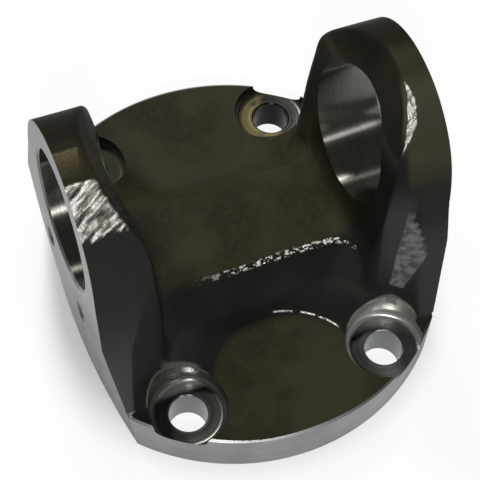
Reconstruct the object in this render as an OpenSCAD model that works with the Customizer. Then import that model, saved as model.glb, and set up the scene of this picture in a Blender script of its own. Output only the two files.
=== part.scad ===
// Flange yoke: a steel forging with two upright ears on a round four-bolt flange.
// The ears hold the bearing cups of a universal joint cross, and the flange bolts to a mating flange.
// +Z points up from the flange's mounting face at z = 0, and the bearing bores lie along X.

/* [View] */
// Piece to draw

/* [Flange] */
// Flange diameter
flange_d = 150; // [140:1:165]
// Flange thickness
flange_t = 17.5; // [15:0.5:20]
// Width across the two bowed sides, at the mounting face
side_w = 119; // [116:0.5:121]
// Radius of the bow of each side, seen from above
side_bow_r = 270; // [240:10:400]
// Outward lean of each side, up to the machined face of the ear
side_draft = 5.5; // [4:0.5:8]
// Bevel on the rim's upper edge
rim_bevel = 0.6; // [0.2:0.1:1.5]

/* [Bolts and register] */
// Distance from the rim to each bolt hole's centre
bolt_edge = 10.85; // [9:0.05:14]
// Turn of each bolt hole from the Y axis
bolt_turn = 34.68; // [32:0.02:38]
// Bolt hole diameter
bolt_hole_d = 13.5; // [10:0.5:16]
// Diameter of the spot face under each bolt head
spot_d = 28; // [25:0.5:31]
// Depth of the spot face below the flange's upper face
spot_depth = 4.2; // [2:0.1:6]
// Radius at the foot of the spot face's wall
spot_fillet = 2; // [1:0.25:3]
// Diameter of the register in the mounting face
register_d = 90; // [70:1:94]
// Depth of the register
register_depth = 3; // [1.5:0.5:5]

/* [Ears] */
// Width across the two machined outer faces
ears_w = 123; // [120:0.5:127]
// Bearing bore diameter
bore_d = 48; // [40:0.5:52]
// Height of the bore axis above the mounting face
bore_z = 71.5; // [68:0.5:80]
// Radius of each ear's rounded head
head_r = 34.5; // [33:0.5:37]
// Width of an ear where it meets the flange
foot_w = 99; // [94:1:104]
// Bevel on each end of a bearing bore
bore_bevel = 1; // [0.3:0.1:2]

/* [Gap between the ears] */
// Gap between the ears at the saddle
gap_w = 73; // [68:0.5:76]
// Height of the saddle that joins the ears
saddle_z = 35; // [32:0.5:40]
// Width of the saddle's flat top
saddle_w = 34; // [30:1:40]
// Radius where the saddle's front edge turns into the ear, seen from above
saddle_turn_r = 8; // [5:1:12]
// Radius in the corner between saddle and ear
crotch_r = 5; // [3:0.5:9]
// Height at which the bevel on the ear's inner top starts
bevel_z = 88; // [85:0.5:92]
// Lean of that bevel from the vertical
bevel_angle = 31; // [20:1:40]

/* [Forging] */
// Draft of the ear's inner face
gap_draft = 5.4; // [2:0.1:7]
// Draft of the round surface above the rim
rim_draft = 2.5; // [1:0.25:5]
// Turn of the flat on each corner of an ear, seen from above
flat_turn = 28; // [22:1:34]
// Draft of that flat
flat_draft = 5.5; // [3:0.5:8]
// Height of the ear's foot above the flange
foot_rise = 2.5; // [1:0.5:5]
// Radius that runs the flat into the foot
foot_fillet = 8; // [4:0.5:11]
// Radius of the open land in front of the saddle
land_r = 27; // [24:0.5:29]

/* [Retainer holes] */
// Tapped hole diameter
tap_d = 8; // [5:0.5:10]
// Spacing of the two tapped holes on each ear
tap_spacing = 32; // [28:1:38]
// Height of the tapped holes
tap_z = 37.5; // [36:0.5:40]
// Depth of each tapped hole
tap_depth = 16; // [10:1:20]

/* [Hidden] */
$fn = 96;

// flange
flange_r = flange_d / 2;
bolt_r = flange_r - bolt_edge;
land_y = flange_r * 0.747;
spot_floor_z = flange_t - spot_depth;

// ears
head_z = bore_z + head_r;
foot_slope = (foot_w / 2 - head_r) / (bore_z - flange_t);
foot_base = foot_w / 2 + flange_t * foot_slope;
rim_top_r = flange_r - (head_z - flange_t) * tan(rim_draft);

// corner flats: each passes through the ear's inner edge at the height of the bore
flat_x = gap_w / 2 + (bore_z - saddle_z) * tan(gap_draft);
flat_y = head_r - 2;

// gap between the ears
gap_bevel_x = gap_w / 2 + (bevel_z - saddle_z) * tan(gap_draft);
gap_top_z = head_z + 10;
gap_top_x = gap_bevel_x + (gap_top_z - bevel_z) * tan(bevel_angle);

// points on an arc about (x, y), from angle a to angle b
function arc(x, y, r, a, b, n = 12) = [
  for (i = [0 : n]) [x + r * cos(a + (b - a) * i / n), y + r * sin(a + (b - a) * i / n)]
];

// Same shape again on the opposite side.
module both(v) {
  children();
  mirror(v) children();
}

// Copies a shape to the four bolt holes.
module at_bolts() {
  for (x = [-1, 1], y = [-1, 1])
    translate([x * bolt_r * sin(bolt_turn), y * bolt_r * cos(bolt_turn), 0]) children();
}

// Space inside the two bowed sides, which lean outwards as they rise.
module between_sides() {
  intersection_for(x = [-1, 1])
    translate([x * (side_w / 2 - side_bow_r), 0, 0])
      cylinder(h = gap_top_z, r1 = side_bow_r, r2 = side_bow_r + gap_top_z * tan(side_draft), $fn = 360);
}

// Round flange with a bevel on its upper edge.
module flange_disc() {
  b = rim_bevel;
  cylinder(h = flange_t - b, r = flange_r);
  translate([0, 0, flange_t - b]) cylinder(h = b, r1 = flange_r, r2 = flange_r - b);
}

// Outline of an ear seen along the bore.
module ear_outline() {
  translate([0, bore_z]) circle(r = head_r);
  polygon([[-foot_base, 0], [foot_base, 0], [head_r, bore_z], [-head_r, bore_z]]);
}

// Both ears and the web between them as one solid block.
module ear_block() {
  intersection() {
    rotate([90, 0, 90]) linear_extrude(height = ears_w, center = true) ear_outline();
    rotate_extrude()
      polygon([[0, 0], [flange_r, 0], [flange_r, flange_t], [rim_top_r, head_z], [0, head_z]]);
    between_sides();
  }
}

// Space between the ears: leaning walls, rounded corners and a wide mouth.
module ear_gap() {
  c = crotch_r;
  turn = 90 - gap_draft;
  cx = gap_w / 2 - c * tan(turn / 2);
  right = concat(
    arc(cx, saddle_z + c, c, -90, -gap_draft),
    [[gap_bevel_x, bevel_z], [gap_top_x, gap_top_z]]
  );
  left = [for (i = [len(right) - 1 : -1 : 0]) [-right[i][0], right[i][1]]];
  rotate([90, 0, 0]) linear_extrude(height = flange_d, center = true) polygon(concat(right, left));
}

// Distance from the middle to the saddle's front face at height z.
function front_y(z) =
  saddle_w / 2 + (land_y - land_r - saddle_w / 2) * (saddle_z - z) / (saddle_z - flange_t);

// Hollow in front of the saddle, from the open land up to the saddle's straight edge.
module land_pocket() {
  foot_z = flange_t + foot_rise + 4;
  // each row holds height, half width and corner radius
  rows = [
    [flange_t, land_r, land_r],
    [foot_z, gap_w / 2, saddle_turn_r * 2],
    [saddle_z, gap_w / 2 + 1, saddle_turn_r]
  ];
  hull()
    for (row = rows, x = [-1, 1], y = [-front_y(row[0]) - row[2], -flange_d])
      translate([x * (row[1] - row[2]), y, row[0]]) cylinder(h = 1, r = row[2], $fn = 64);
}

// Stock outside the flat on one corner of an ear. Its round edges leave the fillets of the foot.
module corner_stock() {
  f = foot_fillet;
  foot_z = flange_t + foot_rise + f;
  translate([flat_x, -flat_y, 0]) rotate(-flat_turn)
    hull()
      for (x = [f - 14, flange_d], z = [foot_z, gap_top_z], y = [-f / cos(flat_draft), -flange_d])
        translate([x, y + (z - bore_z) * tan(flat_draft), z]) sphere(r = f, $fn = 32);
}

// Bolt hole and its spot face, open upwards.
module bolt_cut() {
  r = spot_d / 2;
  translate([0, 0, -1]) cylinder(h = flange_t + 2, d = bolt_hole_d);
  translate([0, 0, spot_floor_z]) rotate_extrude() polygon(concat(
    [[0, 0]],
    arc(r - spot_fillet, spot_fillet, spot_fillet, -90, 0, 8),
    [[r, head_z], [0, head_z]]
  ));
}

// Bearing bore through both ears, bevelled at the outer faces.
module bearing_bore() {
  translate([0, 0, bore_z]) rotate([0, 90, 0]) {
    cylinder(h = ears_w + 2, d = bore_d, center = true);
    both([0, 0, 1]) translate([0, 0, ears_w / 2 - bore_bevel])
      cylinder(h = bore_bevel + 1, d1 = bore_d, d2 = bore_d + 2 * bore_bevel + 2);
  }
}

// Two blind tapped holes in an ear's outer face, with a drilled point.
module retainer_holes() {
  for (y = [-1, 1])
    translate([ears_w / 2 + 1, y * tap_spacing / 2, tap_z]) rotate([0, -90, 0]) {
      cylinder(h = tap_depth + 1, d = tap_d, $fn = 48);
      translate([0, 0, tap_depth + 1]) cylinder(h = tap_d / 4, d1 = tap_d, d2 = 0, $fn = 48);
    }
}

// The whole forging after machining.
module flange_yoke() {
  color([0.2, 0.19, 0.16])
  difference() {
    union() {
      intersection() {
        flange_disc();
        between_sides();
      }
      difference() {
        ear_block();
        ear_gap();
        both([0, 1, 0]) {
          land_pocket();
          both([1, 0, 0]) corner_stock();
        }
      }
    }
    at_bolts() bolt_cut();
    bearing_bore();
    both([1, 0, 0]) retainer_holes();
    translate([0, 0, -1]) cylinder(h = register_depth + 1, d = register_d);
  }
}

flange_yoke();
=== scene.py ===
import math

import bmesh
import bpy
import numpy as np
from mathutils import Matrix, Vector


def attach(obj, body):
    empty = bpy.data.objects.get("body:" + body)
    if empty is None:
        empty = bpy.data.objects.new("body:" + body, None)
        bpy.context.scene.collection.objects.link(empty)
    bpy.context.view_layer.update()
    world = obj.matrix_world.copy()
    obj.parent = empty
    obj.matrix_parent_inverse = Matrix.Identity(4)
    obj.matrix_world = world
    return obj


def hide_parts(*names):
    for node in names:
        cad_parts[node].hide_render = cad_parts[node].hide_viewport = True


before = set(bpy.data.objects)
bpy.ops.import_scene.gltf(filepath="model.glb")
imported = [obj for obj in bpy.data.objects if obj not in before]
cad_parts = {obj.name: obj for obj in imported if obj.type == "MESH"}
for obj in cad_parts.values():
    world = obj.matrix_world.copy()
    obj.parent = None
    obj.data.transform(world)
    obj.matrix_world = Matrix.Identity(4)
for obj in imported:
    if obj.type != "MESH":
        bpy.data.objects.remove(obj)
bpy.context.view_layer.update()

# The forged body: flange, saddle and two ears in one steel forging, drop-forged and left as it came
# from the dies. Its shape is worked out as a distance to the surface, so that every edge and corner
# has the round that a forging die gives it, and a skin is then drawn over it.

# sizes in millimetres, with Z up from the mounting face: the flange, and the bow of its two sides
FLANGE_R, FLANGE_T = 75, 17.5
SIDE_BOW_R, SIDE_BOW_X = 270, -210.5
BOLT_X, BOLT_Y = 36.5, 52.75
# the ears: height of the bore, outer face, head and the leg that widens below it
BORE_Z, FACE_X = 71.5, 61.5
LEFT_HEAD_R, RIGHT_HEAD_R, LEG_SLOPE = 33.6, 34.3, 0.2778
# the gap between the ears, the saddle in it and the round land in front of the saddle
GAP_X, BEVEL_X, BEVEL_Z = 36.5, 41.5, 88
SADDLE_Z, SADDLE_Y = 35, 17
LAND_R, LAND_Y = 27, 56
# stock left for the machining, and the drafts of the dies
STOCK = 1
RIM_DRAFT, SIDE_DRAFT, GAP_DRAFT, GAP_BEVEL = (math.radians(a) for a in (2.5, 5.5, 5.4, 31))
# turn of the flat on each corner of an ear, and how much less it is for each millimetre of height
FLAT_TURN, FLAT_TWIST = math.radians(38.5), math.radians(0.29)


def round_and(r, *spaces):
    """The room that all the spaces share, with its edges rounded to radius r."""
    spaces = np.stack(spaces)
    return np.minimum(-r, spaces.max(0)) + np.linalg.norm(np.maximum(r + spaces, 0), axis=0)


def round_or(r, *spaces):
    """The room that the spaces fill together, with fillets of radius r in its corners."""
    return -round_and(r, *(-space for space in spaces))


# These five work on numbers for the shape, and on shader values for what is painted there.
def inner_face(z):
    """How far from the middle an ear's inner face stands at height z."""
    return GAP_X + math.tan(GAP_DRAFT) * (z - SADDLE_Z)


def inner_bevel(z):
    """The same for the bevel above that face."""
    return BEVEL_X + math.tan(GAP_BEVEL) * (z - BEVEL_Z)


def beside_flat(x, y, z, sine, cosine):
    """Distance from the flat on an ear's corner, given the sine and cosine of its turn."""
    inner_x = inner_face(z)
    inner_y = 0.577 * inner_x - 0.112 * z + 17.44
    return sine * (x - inner_x) - cosine * (y - inner_y)


def torn_strip(x, y, z):
    """How far inside its outer and its inner border a point of the right ear's torn strip lies."""
    beyond = x - inner_bevel(z)
    return 4.3 - 0.0366 * (y + 18) * (y + 18) - beyond, beyond


def torn_patch(x, z):
    """How far inside its inner, upper, lower and slanting border a point of the torn flat lies."""
    return x - 42.3 - 0.105 * (z - 30), 70 - z, z - 29.5, z - 2.5 * x + 88.4


def tear_depth(x, y, z):
    """How deep the trimming press tore the forging, in millimetres."""
    # the left ear's edge
    patch = np.clip(np.minimum(-9 - y, y + 25) / 2, 0, 1) * (x < -40) * (z > 90)
    chips = np.sin(2.6 * y - 1.4 * x + 1.2 * np.sin(0.4 * x + 0.5 * y))
    chips += np.sin(1.2 * y - 0.7 * x + np.sin(0.6 * x))
    left = patch * (0.22 + 0.1 * chips)
    # the right ear, in a strip beside its inner edge and on the flat below
    outer, inner = torn_strip(x, y, z)
    strip = np.clip(outer, 0, 1) * np.clip(inner - 0.3, 0, 1) * (z > BEVEL_Z)
    inner, *others = torn_patch(x, z)
    patch = np.clip(inner, 0, 1) * np.clip(np.min(others, 0) / 3, 0, 1) * (y < -30)
    chips = np.sin(1.7 * z + 0.6 * x + 1.4 * np.sin(0.8 * x))
    chips += np.sin(2.1 * x - 0.9 * z + np.sin(1.3 * z))
    return left + (x > 0) * np.maximum(strip, 0.7 * patch) * (0.3 + 0.2 * chips)


def forged_body(x, y, z):
    """Distance in millimetres from the forging's surface, negative inside.

    The level distance to a leaning face is multiplied by the cosine of its lean.
    """
    waves = np.sin(x / 6.1 + 1.7 * np.sin(y / 9.3)) * np.sin(y / 5.3 + z / 7.7)
    relief = tear_depth(x, y, z) + 0.07 * (waves + np.sin(z / 4.9 + x / 8.3))
    head_r = np.where(x < 0, LEFT_HEAD_R, RIGHT_HEAD_R)
    x, y = abs(x), abs(y)
    from_middle = np.hypot(x, y)
    # an ear seen along the bore: a round head that runs softly into the leg
    below_head = np.clip(BORE_Z + 10 - z, 0, 20) ** 2 / 40 + np.maximum(BORE_Z - 10 - z, 0)
    ear = 0.97 * (np.hypot(y, np.maximum(z - BORE_Z, 0)) - head_r - LEG_SLOPE * below_head)
    rim = from_middle - FLANGE_R - 0.3 + np.maximum(z - FLANGE_T, 0) * math.tan(RIM_DRAFT)
    ear = round_and(1.5, ear, rim * math.cos(RIM_DRAFT))
    # the bowed side, which leans outwards up to the ear's outer face
    side = np.hypot(x - SIDE_BOW_X, y) - SIDE_BOW_R - STOCK - z * math.tan(SIDE_DRAFT)
    side = side * math.cos(SIDE_DRAFT)
    ear = round_and(1, ear, np.maximum(side, x - FACE_X - STOCK))
    # the gap between the ears, with drafted walls and a bevel at the top
    wall = (x - inner_face(z)) * math.cos(GAP_DRAFT)
    bevel = (x - inner_bevel(z)) * math.cos(GAP_BEVEL)
    gap = round_and(5, round_or(4, wall, bevel), SADDLE_Z - z)
    ear = round_and(1.3, ear, -gap)
    # the hollow in front of the saddle, straight at the top and round at the land
    levels = [FLANGE_T, 24, SADDLE_Z]
    turn_r = np.interp(z, levels, [LAND_R, 16, 8])
    across = x - np.interp(z, levels, [LAND_R, GAP_X, GAP_X + 1]) + turn_r
    along = np.interp(z, [FLANGE_T, SADDLE_Z], [LAND_Y - LAND_R, SADDLE_Y]) + turn_r - y
    outside = np.hypot(np.maximum(across, 0), np.maximum(along, 0))
    hollow = outside + np.minimum(np.maximum(across, along), 0) - turn_r
    hollow = round_and(2.5, 0.87 * hollow, FLANGE_T - z)
    # the flats on the corners of the ears, which twist as they rise and run out into the foot
    turn = FLAT_TURN - FLAT_TWIST * np.clip(z, 17, 92)
    flat = beside_flat(x, y, z, np.sin(turn), np.cos(turn))
    inward = 0.866 * (39.95 - x) + 0.5 * (y - 32.5) - 14
    corner = round_and(8, flat, 20 - z, inward)
    ear = round_and(1.4, ear, -round_or(4, hollow, corner))
    disc = round_and(1, from_middle - FLANGE_R - STOCK, z - FLANGE_T, side)
    return np.maximum(round_or(0.8, ear, disc) + relief, -STOCK - z)


def skin(name, shape, low, high, step):
    """A closed mesh of quads over the surface where shape is zero, in metres.

    Space is split into cells. Each cell that the surface crosses gets one point on the surface,
    and each grid edge that it crosses gets one quad between the four cells round that edge.
    """
    axes = [np.arange(a - step, b + 2 * step, step) for a, b in zip(low, high)]
    value = shape(*np.meshgrid(*axes, indexing="ij"))
    inside = value < 0
    # number the cells that have corners on both sides of the surface
    halves = [slice(0, -1), slice(1, None)]
    corners = [np.array((i, j, k)) for i in (0, 1) for j in (0, 1) for k in (0, 1)]
    filled = sum(inside[tuple(halves[i] for i in corner)].astype(int) for corner in corners)
    cells = np.argwhere((filled > 0) & (filled < 8))
    number = np.full(filled.shape, -1)
    number[tuple(cells.T)] = np.arange(len(cells))
    # start each point in the middle of where the surface crosses its cell's edges
    total, crossings = np.zeros((len(cells), 3)), np.zeros(len(cells))
    for start in corners:
        for along in np.eye(3, dtype=int):
            if start @ along:
                continue
            a, b = (value[tuple((cells + corner).T)] for corner in (start, start + along))
            crossed = (a < 0) != (b < 0)
            part = np.where(crossed, a / np.where(crossed, a - b, 1), 0)
            total += (cells + start + part[:, None] * along) * crossed[:, None]
            crossings += crossed
    verts = total / crossings[:, None] * step + np.array([axis[0] for axis in axes])
    # move it onto the surface in a few careful steps, along the way in which the distance rises
    nudge = 0.05
    for _ in range(4):
        here = shape(*verts.T)
        rise = np.stack([shape(*(verts + d).T) - here for d in np.eye(3) * nudge], 1) / nudge
        move = here[:, None] * rise / np.maximum((rise ** 2).sum(1), 0.2)[:, None]
        verts -= np.clip(move, -step / 2, step / 2) * 0.8
    # a quad for each crossed edge of the grid, turned so that it faces outwards
    faces = []
    for n in range(3):
        change = -np.diff(inside.astype(int), axis=n)
        spots = np.argwhere(change)
        outwards = change[tuple(spots.T)] > 0
        p, q = np.eye(3, dtype=int)[(n + 1) % 3], np.eye(3, dtype=int)[(n + 2) % 3]
        quad = np.stack([number[tuple((spots - d).T)] for d in (p + q, q, 0 * p, p)], 1)
        faces.append(np.where(outwards[:, None], quad, quad[:, ::-1]))
    mesh = bpy.data.meshes.new(name)
    mesh.from_pydata((verts / 1000).tolist(), [], np.concatenate(faces).tolist())
    mesh.validate()
    return mesh


# the box round the forging and its stock, and the size of the cells in it
low, high, cell = (-63, -77, -1), (63, 77, 107), 0.9
forging = bpy.data.objects.new("forging", skin("forging", forged_body, low, high, cell))
bpy.context.scene.collection.objects.link(forging)


class Shade:
    """One socket of a material. Sums written on it in Python become Math nodes."""

    def __init__(self, tree, socket=None):
        self.tree, self.socket = tree, socket

    def node(self, kind, inputs=None, **settings):
        """Adds a node and gives back its first output.

        The node's settings are set first, then the numbers or sockets that feed it.
        """
        made = self.tree.nodes.new("ShaderNode" + kind)
        for name, value in settings.items():
            setattr(made, name, value)
        for name, value in (inputs or {}).items():
            if isinstance(value, Shade):
                self.tree.links.new(value.socket, made.inputs[name])
            else:
                made.inputs[name].default_value = value
        return Shade(self.tree, next((out for out in made.outputs if out.enabled), None))

    def __getitem__(self, name):
        """Another output of the same node."""
        return Shade(self.tree, self.socket.node.outputs[name])

    def math(self, operation, *others):
        """A Math node on this value, and on a second one where the operation takes two."""
        return self.node("Math", dict(enumerate((self, *others))), operation=operation)

    def __add__(self, other):
        return self.math("ADD", other)

    def __sub__(self, other):
        return self.math("SUBTRACT", other)

    def __rsub__(self, other):
        return self.node("Math", {0: other, 1: self}, operation="SUBTRACT")

    def __mul__(self, other):
        return self.math("MULTIPLY", other)

    def __neg__(self):
        return 0 - self

    def __abs__(self):
        return self.math("ABSOLUTE")

    __radd__, __rmul__ = __add__, __mul__

    def larger(self, other):
        """The larger of two values, so the place that two masks cover together."""
        return self.math("MAXIMUM", other)

    def fade(self, none, full):
        """0 at one value, 1 at the other, and a soft step between. Either may be the larger."""
        return self.node("MapRange", {"Value": self, "From Min": none, "From Max": full},
                         interpolation_type="SMOOTHSTEP")

    def tint(self, below, above):
        """Goes from one colour to another as the value goes from 0 to 1."""
        below, above = (c if isinstance(c, Shade) else (*c, 1) for c in (below, above))
        # a Mix node takes its factor in socket 0 and its two colours in sockets 6 and 7
        return self.node("Mix", {0: self, 6: below, 7: above}, data_type="RGBA")

    def speckle(self, size, detail=2.0, stretch=(1, 1, 1)):
        """Cloudy noise over a position, with spots of about the given size in millimetres."""
        spot = self.node("VectorMath", {0: self, 1: stretch}, operation="MULTIPLY")
        return spot.node("TexNoise", {"Vector": spot, "Scale": 1 / size, "Detail": detail})


def new_finish(name):
    """A new material, with the position on the object in millimetres and that position's three parts."""
    material = bpy.data.materials.new(name)
    material.use_nodes = True
    material.node_tree.nodes.clear()
    place = Shade(material.node_tree).node("TexCoord")["Object"]
    spot = place.node("VectorMath", {0: place, "Scale": 1000}, operation="SCALE")
    parts = spot.node("SeparateXYZ", {"Vector": spot})
    return material, spot, parts["X"], parts["Y"], parts["Z"]


def reach(a, b):
    """The distance from an axis, from the two lengths square to it."""
    return (a * a + b * b).math("SQRT")


def layers(colour, coats):
    """Lays one coat of colour after another over a first one, each where its mask is 1."""
    for mask, coat in coats:
        colour = mask.tint(colour, coat)
    return colour


def steel(spot, height, **sockets):
    """The steel's shader, with a height in millimetres for its bumps."""
    sockets = {name.replace("_", " "): value for name, value in sockets.items()}
    bump = spot.node("Bump", {"Height": height, "Distance": 0.001})
    shader = spot.node("BsdfPrincipled", {"Normal": bump, **sockets})
    spot.node("OutputMaterial", {"Surface": shader})


# Black forging scale under an oil film, over steel that is grey brown where it is thin. Each mask below
# is 1 where its finish, or its painted light or shade, shows and 0 elsewhere. X runs to the right, Y to
# the back and Z up.
forged_skin, spot, x, y, z = new_finish("forged_skin")
clouds, grain, pits = spot.speckle(22, 3), spot.speckle(2.2, 4), spot.speckle(0.9, 2)
thin = (clouds + 0.0025 * x * y.fade(-35, -15)).fade(0.36, 0.62)
colour = thin.tint((0.0195, 0.0167, 0.0092), (0.0305, 0.0275, 0.0155))
colour = (0.7 * grain.fade(0.45, 0.8)).tint(colour, (0.034, 0.03, 0.0165))
# the left ear's edge: ground smooth at the top, torn bright below that
ragged = 3 * (spot.speckle(5) - 0.5)
left_head = z.fade(91, 93) * x.fade(-46, -47)
ground = left_head * (y - 0.3 * ragged).fade(3, 2.5) * (y + ragged).fade(-11, -9.5)
ground = ground * (x - 0.15 * y - 0.3 * ragged).fade(-53.4, -54.2)
from_bore = reach(y, z - BORE_Z)
strokes = spot.node("CombineXYZ", {"X": 0.2 * x + 0.1 * y, "Y": y - 0.55 * x, "Z": 0.4 * z})
tear = strokes.speckle(1.3, 4)
torn = left_head * from_bore.fade(33, 33.4) * tear.fade(0.3, 0.42)
torn = torn * (y - ragged + 0.1 * (x + 50)).fade(-9.6, -10.4)
torn = torn * (y + ragged + 5 * (tear - 0.5)).fade(-24.6, -23.6)
# the right ear: a torn strip beside the inner edge, and a dull torn patch on the flat below
outer, inner = torn_strip(x, y, z)
strip = (outer + 0.8 * ragged).fade(0, 0.5) * inner.fade(0.8, 1.2) * z.fade(BEVEL_Z, BEVEL_Z + 2)
strip = strip * y.fade(0, -1) * from_bore.fade(32, 33) * tear.fade(0.3, 0.42)
turn = FLAT_TURN - FLAT_TWIST * z
off_flat = beside_flat(abs(x), -y, z, turn.math("SINE"), turn.math("COSINE"))
flat = (abs(off_flat) - 0.2 * ragged).fade(0.9, 0.4) * y.fade(-24, -27)
inner, upper, lower, slanting = torn_patch(x, z)
patch = flat * (inner + 0.4 * ragged).fade(0, 1) * (upper + 2 * ragged).fade(0, 6)
patch = patch * (lower + ragged).fade(0, 1.5) * (slanting + ragged).fade(0, 1.5)
patch = patch * (0.3 + 0.7 * spot.speckle(3, 3).fade(0.35, 0.6))
worn = flat * x.fade(30, 36) * z.fade(84, 64) * z.fade(24, 50)
# painted reflection: the legs of both ears in front are painted a greyer tone
left_leg_reflection = (0.1 * z - x - 55.9).larger(0.35 * z - x - 67.4).fade(0, 1)
left_leg_reflection = left_leg_reflection * y.fade(-26, -32) * z.fade(75, 25) * z.fade(17.7, 18.4)
right_leg_reflection = x.fade(50, 53) * y.fade(-28, -34) * z.fade(72, 47) * z.fade(18, 20)
# painted light: a lighter band round the front of the right ear's head
painted_light_band = x.fade(45, 48) * from_bore.fade(32.8, 33.6) * y.fade(-4, -14) * z.fade(74, 92)
# painted shade: the ears' inner faces and the far side of their heads are painted darker
painted_shade_inner_faces = abs(abs(x) - inner_face(z).larger(inner_bevel(z))).fade(1.2, 0.4) * z.fade(40, 48)
painted_shade_inner_faces = painted_shade_inner_faces * (1 - 0.8 * x.fade(-30, -40) * z.fade(92, 98))
painted_shade_far_heads = y.fade(0, 8) * z.fade(92, 99)
# a burr round the front bolt seats, where their cutter runs into the foot of each ear, and a painted
# highlight on the foot's fillet just above it, widest over the left seat
from_seat = reach(abs(x) - BOLT_X, y + BOLT_Y)
left_burr_and_highlight = from_seat.fade(16.2, 14.7) * x.fade(-42, -39) * x.fade(-27, -30)
burr_and_highlight = (from_seat - 0.2 * ragged).fade(14.5, 14.1).larger(left_burr_and_highlight) * y.fade(0, -9) * z.fade(18.2, 19)
# painted shade: the slope below the saddle and the ears' front faces are painted a darker, plainer grey,
# a little lighter on the left ear
front = y.fade(-15, -18) * z.fade(17.7, 18.3) + y.fade(8, -8) * x.fade(-44, -48) * (1 - left_head)
front = front.math("MINIMUM", 1)
# painted shade, darker still: low down in front of the saddle and low on the left ear's front
painted_shade_low = front * (z.fade(24, 19) * abs(x).fade(46, 40) + x.fade(-42, -46) * z.fade(34, 22))
front_shade_grey = clouds.fade(0.38, 0.64).tint((0.0145, 0.0142, 0.0138), (0.02, 0.0198, 0.0192))
front_shade_grey = x.fade(-30, -38).tint(front_shade_grey, (0.0245, 0.024, 0.0236))
# bright specks where the scale has chipped off: along the saddle's front edge and the land's rim
specks = z.fade(33.4, 33.9) * z.fade(34.95, 34.7) * y.fade(-14.5, -15.5) * y.fade(-24, -22)
specks = specks * x.fade(-24, 6) * x.fade(38, 37) * spot.speckle(1, 2, (0.7, 1, 1)).fade(0.48, 0.56)
rim_specks = abs(reach(x, y + LAND_Y) - LAND_R - 0.5).fade(0.45, 0.25) * z.fade(17.3, 17.5)
rim_specks = rim_specks * x.fade(3.5, 5) * x.fade(24, 23) * y.fade(-46, -45)
specks = specks.larger(rim_specks * spot.speckle(2.5, 2).fade(0.4, 0.5))
bright = torn.larger(strip).larger(specks)
gleam = (tear.fade(0.42, 0.62) + specks + 0.35 * strip).fade(0, 1)
height = 0.05 * grain + 0.035 * pits.fade(0.3, 0.5) + 0.3 * spot.speckle(9, 1)
steel(
    spot, height + (bright + 0.5 * patch) * (0.7 * tear + 0.4 * pits),
    Base_Color=layers(colour, [
        # painted shade first: on the front, low down, on the far side of the heads and on the inner
        # faces
        (0.85 * front, front_shade_grey),
        (0.65 * painted_shade_low, (0.008, 0.0077, 0.0077)),
        (0.75 * painted_shade_far_heads * abs(x).fade(44, 47), (0.0085, 0.0075, 0.0055)),
        (0.7 * painted_shade_inner_faces, (0.008, 0.0072, 0.0058)),
        (0.6 * worn, (0.055, 0.057, 0.056)),
        # painted reflection on the legs, painted light on the right ear's band and a painted highlight
        # by the burr
        (0.9 * left_leg_reflection, (0.066, 0.068, 0.069)),
        (0.9 * right_leg_reflection, (0.045, 0.0435, 0.044)),
        (0.8 * painted_light_band, (0.062, 0.057, 0.036)),
        (0.6 * burr_and_highlight, (0.2, 0.2, 0.185)),
        (ground, (0.031, 0.0265, 0.0135)),
        (0.8 * patch, (0.185, 0.191, 0.178)),
        (bright, gleam.tint((0.2, 0.19, 0.165), (0.72, 0.7, 0.65)))]),
    Roughness=0.36 + 0.2 * grain + 0.08 * bright, Metallic=bright.larger(0.5 * ground + 0.6 * burr_and_highlight),
    Specular_IOR_Level=0.01, Coat_Weight=0.05 * clouds * (1 - painted_shade_far_heads), Coat_Roughness=0.5)

# The machined faces: the forging goes to the lathe, mill and drill, which cut the rim, the sides and
# outer faces of the ears, the bearing bores, the bolt seats, the tapped holes and the register.
# Each cutter here is the space that its tool sweeps.


def ringed(a, b, depth):
    """A position that is the same all round an axis, for the rings that a tool leaves."""
    return a.node("CombineXYZ", {"X": reach(a, b), "Y": depth})


# lathe-turned steel: fine rings round the flange's axis, darker to the front right
turned_steel, spot, x, y, z = new_finish("turned_steel")
rings = ringed(x, y, z)
groove = rings.speckle(0.22, 3)
stain = (0.3 * rings.speckle(2.5, 2) + 0.7 * spot.speckle(14)).fade(0.3, 0.7)
steel(
    spot, 0.012 * groove,
    Base_Color=layers(stain.tint((0.22, 0.225, 0.22), (0.28, 0.285, 0.28)), [
        (x.fade(36, 58) * y.fade(-20, -40), (0.05, 0.052, 0.049))]),
    Roughness=0.34 + 0.16 * groove, Metallic=1.0)

# milled steel: fine straight feed marks, with painted reflection and shade: bright on the ears' faces
# and towards the back, darker down the bowed sides and to the front, most on the left ear, with cloudy
# stain
milled_steel, spot, x, y, z = new_finish("milled_steel")
marks, stain = spot.speckle(0.5, 2, (1, 0.08, 1)), spot.speckle(16, 3)
reflection_and_shade = (z + 6 * stain + 0.6 * (y + 30)).fade(72, 46) * (0.4 + 0.6 * x.fade(5, -5))
steel(
    spot, 0.015 * marks,
    Base_Color=layers(reflection_and_shade.tint((0.32, 0.33, 0.32), (0.075, 0.079, 0.079)), [
        (y.fade(-20, 20), (0.2, 0.207, 0.2)),
        ((0.5 * marks + 0.5 * stain).fade(0.25, 0.8), (0.23, 0.238, 0.233))]),
    Roughness=0.38 + 0.12 * marks, Metallic=1.0)

# bored steel: the reamer's fine rings, dark with cutting oil, which smear a reflection along the bore
bored_steel, spot, *_ = new_finish("bored_steel")
rings, scratches = spot.speckle(0.35, 3, (1, 0.03, 0.03)), spot.speckle(0.12, 1, (1, 0.03, 0.03))
stain = (0.5 * rings + 0.5 * spot.speckle(12)).fade(0.3, 0.7)
steel(
    spot, 0.012 * rings + 0.02 * scratches,
    Base_Color=stain.tint((0.12, 0.114, 0.101), (0.19, 0.181, 0.163)),
    Roughness=0.26 + 0.05 * rings, Metallic=1.0, Anisotropic=1.0, Anisotropic_Rotation=0.25,
    Coat_Weight=0.1 + 0.2 * rings, Coat_Roughness=0.3)
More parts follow.
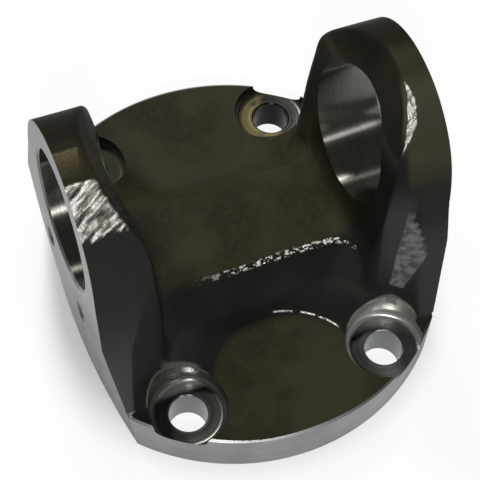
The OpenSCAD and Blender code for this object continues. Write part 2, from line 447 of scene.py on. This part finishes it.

# the bolt seats: rings from the spot-facing cutter on oiled steel, and drilled holes, with light and
# shade painted into the seats and the back holes painted black as shade
bolt_seat, spot, x, y, z = new_finish("bolt_seat")
left, right, front, back = x.fade(5, -5), x.fade(-5, 5), y.fade(5, -5), y.fade(-5, 5)
across, along = abs(x) - BOLT_X, abs(y) - BOLT_Y
from_hole, rings = reach(across, along), ringed(across, along, z)
groove, stain = rings.speckle(0.5, 2), spot.speckle(9)
wall, hole = from_hole.fade(11.2, 12.6), from_hole.fade(7.3, 7.1)
rightwards = x - BOLT_X * x.math("SIGN")
oil = (0.4 * rings.speckle(1.8, 2) + 0.6 * stain).fade(0.35, 0.65)
# painted reflection and shade on the seats' walls: bright on the front right one, dimmer on the front
# left one, dark at the back
wall_light_and_shade = (front * (0.2 + 0.8 * right)).tint((0.036, 0.034, 0.025), (0.42, 0.42, 0.39))
steel(
    spot, 0.03 * groove * (1 - 0.7 * hole),
    Base_Color=layers(oil.tint((0.04, 0.04, 0.038), (0.07, 0.07, 0.062)), [
        # the front seats: painted shade on the left one's right side, a painted sheen on the right one's
        # right side, and a painted highlight on their far wall
        (left * rightwards.fade(-8, 9), (0.034, 0.034, 0.03)),
        (front * right * rightwards.fade(-9, 9), (0.27, 0.277, 0.265)),
        (front * (y + BOLT_Y).fade(7, 10), (0.6, 0.61, 0.58)),
        # the back seats: the left one painted black as the left ear's shadow, the other stained brown on
        # its left side
        (back * left, (0.012, 0.0115, 0.0075)),
        (back * right * rightwards.fade(4, -3) * stain.fade(0.2, 0.4), (0.22, 0.195, 0.09)),
        (wall, wall_light_and_shade),
        # the holes: grey steel in front, painted black at the back as shade
        (hole, back.tint((0.15, 0.158, 0.165), (0.006, 0.006, 0.006)))]),
    Roughness=0.22 + 0.1 * groove + 0.25 * back * left, Metallic=1 - 0.3 * wall,
    Anisotropic=0.5, Anisotropic_Rotation=0.25)

# each finish by its number on the forging
finishes = [forged_skin, turned_steel, milled_steel, bored_steel, bolt_seat]
TURNED, MILLED, BORED, SEAT = 1, 2, 3, 4
for finish in finishes:
    forging.data.materials.append(finish)


def turned(cuts, profile, place, finish=0, sides=128):
    """A turned cutter: a closed outline of (radius, height) points spun about Z, then put in place."""
    rings = []
    for radius, height in profile:
        turns = [math.tau * i / sides for i in range(sides)] if radius else [0]
        ring = [Vector((radius * math.cos(t), radius * math.sin(t), height)) for t in turns]
        rings.append([cuts.verts.new(place @ point / 1000) for point in ring])
    pairs = list(zip(rings, rings[1:]))
    if profile[0][0]:
        pairs.append((rings[-1], rings[0]))
    for a, b in pairs:
        for i in range(sides):
            j = (i + 1) % sides
            corners = [a[i % len(a)], a[j % len(a)], b[j % len(b)], b[i % len(b)]]
            cuts.faces.new(list(dict.fromkeys(corners))).material_index = finish


def milled(cuts, face, finish):
    """A milled cutter: rows of points on the cut face, closed by the same rows moved 30 mm outwards."""
    rows, cols = len(face), len(face[0])
    near = [[cuts.verts.new(Vector(point) / 1000) for point in row] for row in face]
    outwards = Vector((math.copysign(0.03, face[0][0][0]), 0, 0))
    far = [[cuts.verts.new(vert.co + outwards) for vert in row] for row in near]
    for sheet in (near, far):
        for i in range(rows - 1):
            for j in range(cols - 1):
                quad = [sheet[i][j], sheet[i + 1][j], sheet[i + 1][j + 1], sheet[i][j + 1]]
                cuts.faces.new(quad).material_index = finish
    border = [(i, 0) for i in range(rows)] + [(rows - 1, j) for j in range(1, cols)]
    border += [(i, cols - 1) for i in range(rows - 2, -1, -1)] + [(0, j) for j in range(cols - 2, 0, -1)]
    for (i, j), (k, m) in zip(border, border[1:] + border[:1]):
        cuts.faces.new([near[i][j], near[k][m], far[k][m], far[i][j]]).material_index = finish


def machine(cuts):
    """Takes the cutters' space out of the forging, and keeps each cutter's finish on the new faces."""
    bmesh.ops.recalc_face_normals(cuts, faces=cuts.faces[:])
    tool = bpy.data.objects.new("tool", bpy.data.meshes.new("tool"))
    cuts.to_mesh(tool.data)
    for finish in finishes:
        tool.data.materials.append(finish)
    bpy.context.scene.collection.objects.link(tool)
    cut = forging.modifiers.new("cut", "BOOLEAN")
    cut.operation, cut.solver, cut.object = "DIFFERENCE", "MANIFOLD", tool
    bpy.context.view_layer.objects.active = forging
    bpy.ops.object.modifier_apply(modifier="cut")
    bpy.data.objects.remove(tool)


def arc(x, y, r, start, end, steps):
    """Points on an arc about (x, y), from one angle to another in degrees."""
    turns = [math.radians(start + (end - start) * i / steps) for i in range(steps + 1)]
    return [(x + r * math.cos(t), y + r * math.sin(t)) for t in turns]


# the rim, with a small bevel on its upper edge
upright = Matrix.Identity(4)
cuts = bmesh.new()
rim = [(FLANGE_R, -3), (FLANGE_R + 15, -3), (FLANGE_R + 15, 19), (FLANGE_R - 3, 19), (FLANGE_R, 16.95)]
turned(cuts, rim, upright, TURNED, 256)
machine(cuts)
# the mounting face and the register in it, 90 mm wide and 3 mm deep
cuts = bmesh.new()
register = [(0, 3), (44.6, 3), (45, 2.6), (45, 0.4), (45.4, 0)]
turned(cuts, register + [(110, 0), (110, -6), (0, -6)], upright, TURNED, 192)
machine(cuts)
# outer faces of the ears, and the bowed sides that lean out to them
cuts = bmesh.new()
for side in (1, -1):
    rows = []
    for y in range(-90, 91, 3):
        foot_x = math.sqrt(SIDE_BOW_R ** 2 - y * y) + SIDE_BOW_X
        knee_z = (FACE_X - foot_x) / math.tan(SIDE_DRAFT)
        heights = [-4 + (knee_z + 4) * k / 8 for k in range(9)] + [max(knee_z + 5, 112)]
        rows.append([(side * min(FACE_X, foot_x + z * math.tan(SIDE_DRAFT)), y, z) for z in heights])
    milled(cuts, rows, MILLED)
machine(cuts)
# the bearing bores, bevelled at their outer ends, and the tapped holes below them, whose thread is
# drawn as rings
BORE_R, BORE_BEVEL, TAP_Y, TAP_Z = 24, 0.8, 16, 37.5
CREST_R, ROOT_R, HALF_PITCH = 3.4, 4, 0.625
bore = [(0, 20), (BORE_R, 20), (BORE_R, FACE_X - BORE_BEVEL)]
bore += [(BORE_R + BORE_BEVEL, FACE_X), (BORE_R + 2, 64), (0, 64)]
thread = [(ROOT_R if k % 2 else CREST_R, 47.5 + HALF_PITCH * k) for k in range(21)]
tapped = [(0, 43), (CREST_R, 45.5), *thread, (CREST_R, 60.8), (4.1, FACE_X), (4.1, 64), (0, 64)]
cuts = bmesh.new()
for side in (1, -1):
    sideways = Matrix.Rotation(side * math.pi / 2, 4, "Y")
    turned(cuts, bore, Matrix.Translation((0, 0, BORE_Z)) @ sideways, BORED, 160)
    for y in (-TAP_Y, TAP_Y):
        turned(cuts, tapped, Matrix.Translation((0, y, TAP_Z)) @ sideways, BORED, 48)
machine(cuts)
# the bolt holes and their spot faces, with a fillet at the foot of the wall
HOLE_R, SEAT_R, SEAT_Z, FILLET = 6.75, 13.8, 13.3, 2.6
seat = [(0, -8), (HOLE_R, -8), (HOLE_R, SEAT_Z - 0.3), (HOLE_R + 0.35, SEAT_Z)]
seat += arc(SEAT_R - FILLET, SEAT_Z + FILLET, FILLET, -90, 0, 8) + [(SEAT_R, 40), (0, 40)]
cuts = bmesh.new()
for x in (-BOLT_X, BOLT_X):
    for y in (-BOLT_Y, BOLT_Y):
        turned(cuts, seat, Matrix.Translation((x, y, 0)), SEAT, 96)
machine(cuts)

forging.data.shade_smooth()
forging.data.set_sharp_from_angle(angle=math.radians(32))

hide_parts("flange_yoke")
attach(forging, "root")

# The floor: white studio paper that lies flat round the object and curves up far out on every side.
# It takes the object's shadow and past the object it is seen as white; under the bolt holes it is
# painted light, white where the shadow falls.
sheet = bmesh.new()
FLAT_R, CURVE_R = 2400, 600
turned(sheet, [(0, 0), (1000, 0)] + arc(FLAT_R, CURVE_R, CURVE_R, -90, 0, 12), upright)
floor = bpy.data.objects.new("floor", bpy.data.meshes.new("floor"))
sheet.to_mesh(floor.data)
floor.data.shade_smooth()
bpy.context.scene.collection.objects.link(floor)
paper, spot, x, y, _ = new_finish("white_paper")
path = spot.node("LightPath")
seen = path["Is Camera Ray"].larger(path["Is Glossy Ray"]).larger(path["Is Transmission Ray"])
# painted light: under the bolt holes the floor is shown white, though the flange shades it
lit_under_holes = reach(abs(x) - BOLT_X, abs(y) - BOLT_Y).fade(12, 8)
clear = reach(x, y).fade(60, 85).larger(lit_under_holes)
matt = spot.node("BsdfDiffuse", {"Color": (0.85, 0.85, 0.85, 1)})
glow = spot.node("Emission", {"Color": (1, 1, 1, 1), "Strength": 1.0})
blend = spot.node("MixShader", {0: 0.9 * seen * clear, 1: matt, 2: glow})
spot.node("OutputMaterial", {"Surface": blend})
floor.data.materials.append(paper)

# The lights: two lamps in front, a small strong one and a weak wide one, and two behind the object,
# one high and one low, in a pale room.
world = bpy.context.scene.world or bpy.data.worlds.new("World")
bpy.context.scene.world = world
world.use_nodes = True
world.node_tree.nodes["Background"].inputs["Color"].default_value = (1, 1, 1, 1)
world.node_tree.nodes["Background"].inputs["Strength"].default_value = 0.12


def lamp(name, place, size, watts):
    """A round lamp of some width in metres, turned to the middle of the object."""
    light = bpy.data.lights.new(name, "AREA")
    light.shape, light.size, light.energy = "DISK", size, watts
    stand = bpy.data.objects.new(name, light)
    stand.location = place
    stand.rotation_euler = (Vector((0, 0, 0.04)) - Vector(place)).to_track_quat("-Z", "Y").to_euler()
    bpy.context.scene.collection.objects.link(stand)


lamp("key", (-0.2, -0.463, 0.572), 0.07, 2.4)
lamp("window", (0.05, 0.61, 0.76), 0.18, 5.8)
lamp("front", (0.1, -0.75, 0.55), 0.2, 0.7)
lamp("rear", (-0.28, 0.62, 0.48), 0.12, 1.6)

# The camera, at the photo's angle: in front on the left, high up, and rolled a little.
camera = bpy.data.objects.new("camera", bpy.data.cameras.new("camera"))
bpy.context.scene.collection.objects.link(camera)
camera.data.sensor_width, camera.data.lens = 36, 123.24
azimuth, elevation, roll = (math.radians(a) for a in (25.0448, 58.1203, 4.1368))
camera.matrix_world = (
    Matrix.Translation((-0.127949, -0.279849, 0.520213)) @ Matrix.Rotation(-azimuth, 4, "Z")
    @ Matrix.Rotation(math.pi / 2 - elevation, 4, "X") @ Matrix.Rotation(roll, 4, "Z"))
bpy.context.scene.camera = camera

bpy.context.scene.view_settings.view_transform = "Standard"
